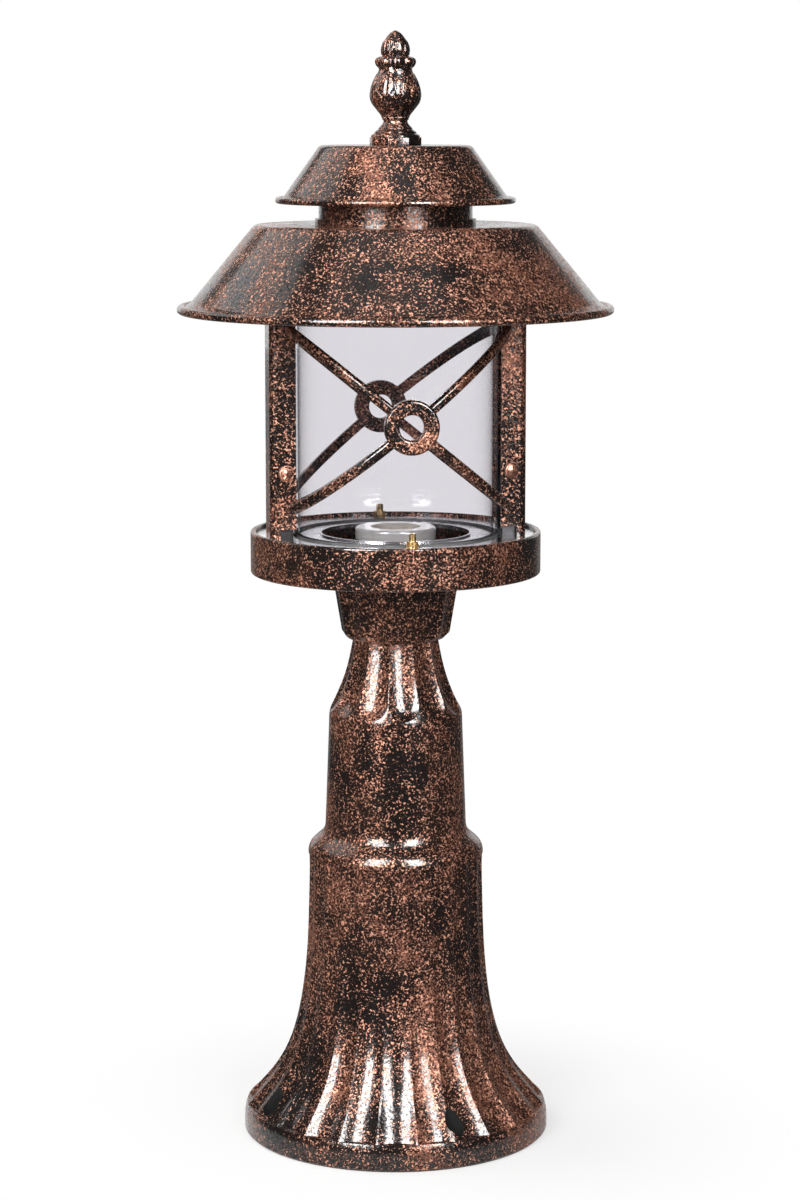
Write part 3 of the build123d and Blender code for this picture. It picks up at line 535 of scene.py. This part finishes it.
# Finial: leaves on the bulb, a lobed crown and a scaled bud, in mm above its base
FINIAL_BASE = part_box("finial")[0].z
FINIAL_STEPS = 132
LINE_PARTS = 5
BULB_LINE = [
    (13.7, 4.4), (13.6, 5.4), (11.8, 6.6), (11.7, 7.2), (9.6, 8.9), (9.4, 9.5),
    (7.6, 11.4), (6.9, 12.6), (6.8, 13.6), (7.6, 14.4), (6.9, 15.2), (7.4, 16.6),
    (9.8, 19.6), (12.6, 23.4), (13.7, 27.0), (13.6, 30.5), (12.4, 34.5), (10.6, 38.2),
    (9.6, 40.6), (9.4, 42.2), (10.4, 43.6), (11.2, 45.4), (10.8, 47.4), (9.0, 48.6),
    (7.4, 49.0), (7.5, 50.6), (7.6, 53.0), (6.6, 56.6), (4.6, 59.8), (2.4, 62.0),
    (0.0, 63.1),
]
FOOT_SIDES = 8
FOOT_RADIUS = 15.0 * MM
FOOT_HEIGHT = 4.4 * MM
FOOT_BEVEL = 0.5 * MM

# Leaves: foot, tip, half width as a turn, and lift; then what all of them share
LEAF_COUNT = 6
LEAF_PITCH = 2 * math.pi / LEAF_COUNT
LOWER_LEAF = (15.0, 31.0, 0.50 * LEAF_PITCH, 0.75)
UPPER_LEAF = (22.0, 40.5, 0.50 * LEAF_PITCH, 0.45)
BUD_SCALE = (48.9, 58.5, 0.48 * LEAF_PITCH, 0.35)
LEAF_TAPER = 2.2
LEAF_RIM = 0.07
LEAF_TIP = 2.0
LEAF_CURL = 0.25
LEAF_SHOWS = 0.02
RIB_DEPTH = 0.35
RIB_WIDTH = 0.08

# Crown: its foot, top and edge, and the rise, roundness, sink and wave of its lobes
CROWN_FOOT = 42.0
CROWN_TOP = 48.8
CROWN_EDGE = 1.4
LOBE_COUNT = 8
LOBE_RISE = 1.1
LOBE_ROUND = 0.6
LOBE_SINK = 1.0
LOBE_WAVE = 0.25
BUD_FOOT = 49.4


def leaf_depth(turn, height, first, tip, half_width, lift):
    """Lift of a pointed leaf with a rib at a turn from its middle, in mm."""
    if not first < height < tip:
        return 0.0
    share = (height - first) / (tip - first)
    reach = half_width * math.sqrt(max(1 - share**LEAF_TAPER, 0.0))
    across = abs(turn) / half_width
    rim = raised(reach - abs(turn), LEAF_RIM) * raised(tip - height, LEAF_TIP)
    rib = RIB_DEPTH * math.exp(-((across / RIB_WIDTH) ** 2))
    return rim * (lift + LEAF_CURL * across - rib)


def finial_relief(turn, height):
    """Carving of the finial at a turn and a height, outwards in mm."""
    front_turn = (turn + LEAF_PITCH / 2) % LEAF_PITCH - LEAF_PITCH / 2
    between_turn = turn % LEAF_PITCH - LEAF_PITCH / 2
    lower = leaf_depth(front_turn, height, *LOWER_LEAF)
    upper = leaf_depth(between_turn, height, *UPPER_LEAF)
    depth = lower if lower > LEAF_SHOWS else upper
    if CROWN_FOOT < height < CROWN_TOP:
        lobe = abs(math.cos(LOBE_COUNT * turn / 2))
        wave = LOBE_WAVE * math.cos(LOBE_COUNT * turn)
        crown = raised(min(height - CROWN_FOOT, CROWN_TOP - height), CROWN_EDGE)
        depth += crown * (LOBE_RISE * lobe**LOBE_ROUND - LOBE_SINK + wave)
    if height > BUD_FOOT:
        depth += leaf_depth(front_turn, height, *BUD_SCALE)
    return depth


def finial_carving():
    line = [
        (radius * MM, FINIAL_BASE + height * MM)
        for radius, height in through(BULB_LINE, LINE_PARTS)
    ]
    body = turned("finial_carved", [(0, line[0][1]), *line], FINIAL_STEPS)
    for vertex in body.data.vertices:
        x, y, z = vertex.co
        radius = math.hypot(x, y)
        if radius > 0.5 * MM:
            turn = math.atan2(x, -y)
            grown = radius + finial_relief(turn, (z - FINIAL_BASE) / MM) * MM
            vertex.co.x = x * grown / radius
            vertex.co.y = y * grown / radius
    foot = begin(
        "finial_foot",
        bpy.ops.mesh.primitive_cylinder_add,
        vertices=FOOT_SIDES,
        radius=FOOT_RADIUS,
        depth=FOOT_HEIGHT,
        location=(0, 0, FINIAL_BASE + FOOT_HEIGHT / 2),
        rotation=(0, 0, math.pi / FOOT_SIDES),
    )
    apply_modifier(foot, "BEVEL", width=FOOT_BEVEL, segments=3, limit_method="ANGLE")
    select_only(body, foot)
    bpy.ops.object.join()
    settle(
        body, "finial_body", enamel, smooth=50, nodes=("finial",)
    )


finial_carving()


# Post screws: pan heads with a domed middle, a groove, a raised rim and a crossed recess, in mm
DOME_HEIGHT = 2.5
DOME_DROP = 0.9
DOME_RADIUS = 2.9
DOME_STEP = 0.19
DOME_POINTS = 16
DOME_FOOT = 1.6
SCREW_STEPS = 72
SCREW_SINK = 5.0
SCREW_LINE = [
    *(
        (DOME_STEP * step, DOME_HEIGHT - DOME_DROP * (DOME_STEP * step / DOME_RADIUS) ** 2)
        for step in range(DOME_POINTS)
    ),
    (3.15, 1.5), (3.2, 0.5), (3.65, 0.4), (3.8, 1.1), (4.1, 1.45), (4.5, 1.4),
    (4.8, 0.95), (4.88, 0.3), (4.88, 0.0), (2.45, 0.0), (2.45, -SCREW_SINK), (0.0, -SCREW_SINK),
]
HEAD_RADIUS = 4.9
HEAD_HEIGHT = 2.8
HEAD_TURN = math.radians(20)
RECESS_DEPTH = 1.3
RECESS_REACH = 2.2
RECESS_END = 0.35
RECESS_HALF_WIDTH = 0.55
RECESS_EDGE = 0.25


def recess_depth(x, y):
    """Depth of the crossed recess at a place on the screw's head, in mm."""
    arm = max(
        raised(RECESS_HALF_WIDTH - abs(x), RECESS_EDGE),
        raised(RECESS_HALF_WIDTH - abs(y), RECESS_EDGE),
    )
    return RECESS_DEPTH * arm * raised(RECESS_REACH - math.hypot(x, y), RECESS_END)


def post_screw():
    """One screw, its shank down and its head up from the origin."""
    line = [(radius * MM, height * MM) for radius, height in SCREW_LINE]
    screw = turned("post_screws_crossed", line, SCREW_STEPS)
    for vertex in screw.data.vertices:
        x, y, z = vertex.co / MM
        if z > DOME_FOOT:
            vertex.co.z -= recess_depth(x, y) * MM
    return screw


def copied(piece):
    """A copy with a mesh of its own."""
    select_only(piece)
    bpy.ops.object.duplicate()
    return bpy.context.object


def post_screw_set():
    low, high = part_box("post_screws")
    out = high.x - HEAD_RADIUS * MM
    level = (low.z + high.z) / 2
    first = post_screw()
    screws = [first, *(copied(first) for _ in range(3))]
    seats = [(side, facing) for facing in (1, -1) for side in (1, -1)]
    for screw, (side, facing) in zip(screws, seats):
        face = low.y if facing == 1 else high.y
        screw.location = (side * out, face + facing * HEAD_HEIGHT * MM, level)
        screw.rotation_euler = (math.radians(90 * facing), 0, HEAD_TURN)
    select_only(*screws)
    bpy.ops.object.join()
    settle(
        first,
        "lantern",
        finishes["copper_screws"],
        smooth=35,
        nodes=("post_screws",),
    )


post_screw_set()


# Stud nuts: round brass nuts with a milled edge; shares of the nut's radius
NUT_SIDES = 48
NUT_CHAMFER = 0.14
NUT_FACE = 0.26
NUT_GROOVE_INSET = 0.02
NUT_GROOVE_DEPTH = 0.06


def stud_nut(name, node, body):
    low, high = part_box(node)
    centre = (low + high) / 2
    radius = (high.x - low.x) / 2
    height = high.z - low.z
    nut = begin(
        name,
        bpy.ops.mesh.primitive_cylinder_add,
        vertices=NUT_SIDES,
        radius=radius,
        depth=height,
        location=centre,
    )
    pick_faces(nut, lambda middle, normal: abs(normal.z) > 0.9)
    bpy.ops.mesh.inset(thickness=radius * NUT_CHAMFER, depth=0)
    bpy.ops.mesh.inset(thickness=radius * NUT_FACE, depth=0)
    bpy.ops.mesh.delete(type="FACE")
    bpy.ops.mesh.select_mode(type="EDGE")
    bpy.ops.mesh.select_all(action="DESELECT")
    bpy.ops.mesh.select_non_manifold()
    bpy.ops.mesh.bridge_edge_loops()
    pick_faces(
        nut,
        lambda middle, normal: abs(normal.z) < 0.1
        and math.hypot(middle.x, middle.y) > radius * 0.9
        and int(math.degrees(math.atan2(middle.y, middle.x)) // (360 / NUT_SIDES)) % 2 == 0,
    )
    bpy.ops.mesh.inset(
        thickness=radius * NUT_GROOVE_INSET, depth=-radius * NUT_GROOVE_DEPTH, use_individual=True
    )
    bpy.ops.object.mode_set(mode="OBJECT")
    settle(nut, body, finishes["brass"], smooth=25, nodes=(node,))


stud_nut("stud_nut_front_milled", "stud_nut_front", "front_nut")
stud_nut("stud_nut_rear_milled", "stud_nut_rear", "rear_nut")


# Lamp socket: a rolled thread in thin brass
THREAD_CREST = 13.35 * MM
THREAD_ROOT = 13.85 * MM
THREAD_PITCH = 3.6 * MM
THREAD_POINTS = 10
THREAD_TURNS = 5
THREAD_STEPS = 64
SHELL_WALL = 0.25 * MM


def socket_thread():
    low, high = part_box("lampholder_shell")
    middle = (THREAD_CREST + THREAD_ROOT) / 2
    swing = (THREAD_ROOT - THREAD_CREST) / 2
    shares = [point / THREAD_POINTS for point in range(THREAD_POINTS + 1)]
    shell = outline(
        "socket_thread",
        [
            (middle - swing * math.cos(2 * math.pi * share), low.z + THREAD_PITCH * share)
            for share in shares
        ],
    )
    apply_modifier(
        shell,
        "SCREW",
        screw_offset=THREAD_PITCH,
        iterations=THREAD_TURNS,
        steps=THREAD_STEPS,
        render_steps=THREAD_STEPS,
        use_merge_vertices=True,
        merge_threshold=0.02 * MM,
    )
    apply_modifier(shell, "SOLIDIFY", thickness=SHELL_WALL, offset=0)
    bpy.ops.object.mode_set(mode="EDIT")
    bpy.ops.mesh.select_all(action="SELECT")
    bpy.ops.mesh.bisect(
        plane_co=(0, 0, high.z), plane_no=(0, 0, 1), clear_outer=True, use_fill=True
    )
    bpy.ops.object.mode_set(mode="OBJECT")
    settle(shell, "lantern", finishes["brass"], smooth=40, nodes=("lampholder_shell",))


socket_thread()


# Floor, world, lights and camera
def studio_floor():
    """Pale floor that fades to the plain background away from the base's shadow."""
    bpy.ops.object.select_all(action="DESELECT")
    bpy.ops.mesh.primitive_circle_add(vertices=64, radius=FLOOR_RADIUS, fill_type="NGON")
    floor = bpy.context.object
    floor.name = "floor"
    f = new_finish("pale_floor")
    seen = f.ray("Camera")
    glossy = f.ray("Glossy")
    radius = f.add("ShaderNodeVectorMath", {0: f.place}, "Value", operation="LENGTH")
    far = f.band(radius, *FLOOR_FADE, FLOOR_FADE_START, 1.0)
    away = f.band(radius, *FLOOR_GLOSS_FADE)
    room = f.backdrop(f.share_behind(f.place) / radius, FLOOR_GLEAM)
    lit = f.add("ShaderNodeBsdfDiffuse", {"Color": FLOOR_WHITE})
    plain = f.add("ShaderNodeEmission", {"Strength": seen.at_least(room)})
    floor.data.materials.append(
        f.finish(
            f.add("ShaderNodeMixShader", {0: seen * far + glossy * away, 1: lit, 2: plain})
        )
    )


def studio_world():
    """White where it is seen plainly, a backdrop behind in gloss, dim elsewhere."""
    f = Finish(bpy.data.worlds.new("studio"))
    bpy.context.scene.world = f.owner
    seen = f.ray("Camera")
    through_glass = f.ray("Transmission")
    glossy = f.ray("Glossy")
    way = f.add("ShaderNodeTexCoord", output="Generated")
    mirrored = glossy * f.backdrop(f.share_behind(way), 1.0)
    plain = (1 - glossy) * AMBIENT
    level = seen.at_least(through_glass).at_least(mirrored + plain)
    f.finish(
        f.add("ShaderNodeBackground", {"Color": WHITE, "Strength": level}),
        "ShaderNodeOutputWorld",
    )


def softbox(name, turn, rise, size, light, gleam):
    """A soft light, placed by its turn from the camera and its rise, and its gleam."""
    turn = math.radians(turn) + CAMERA_TURN
    rise = math.radians(rise)
    aim = Vector((0, 0, LIGHT_AIM))
    way = Vector(
        (math.sin(turn) * math.cos(rise), -math.cos(turn) * math.cos(rise), math.sin(rise))
    )
    for part, power, gap in (("light", light, LIGHT_GAP), ("shine", gleam, 0.0)):
        place = aim + (LIGHT_DISTANCE + gap) * way
        data = bpy.data.lights.new(f"{name}_{part}", "AREA")
        data.shape = "RECTANGLE"
        data.size, data.size_y = size
        data.energy = power
        lamp = bpy.data.objects.new(data.name, data)
        lamp.location = place
        lamp.rotation_euler = (aim - place).to_track_quat("-Z", "Y").to_euler()
        lamp.visible_camera = False
        lamp.visible_glossy = part == "shine"
        lamp.visible_diffuse = part == "light"
        bpy.context.scene.collection.objects.link(lamp)


studio_floor()
studio_world()
for box in SOFTBOXES:
    softbox(*box)

camera_data = bpy.data.cameras.new("camera")
camera_data.sensor_fit = "VERTICAL"
camera_data.angle_y = CAMERA_FIELD
camera = bpy.data.objects.new("camera", camera_data)
camera.location = (
    math.sin(CAMERA_TURN) * CAMERA_DISTANCE,
    -math.cos(CAMERA_TURN) * CAMERA_DISTANCE,
    CAMERA_HEIGHT,
)
camera.rotation_euler = (math.pi / 2 - CAMERA_DIP, 0, CAMERA_TURN + CAMERA_PAN)
bpy.context.scene.collection.objects.link(camera)
bpy.context.scene.camera = camera
bpy.context.scene.view_settings.view_transform = "Standard"
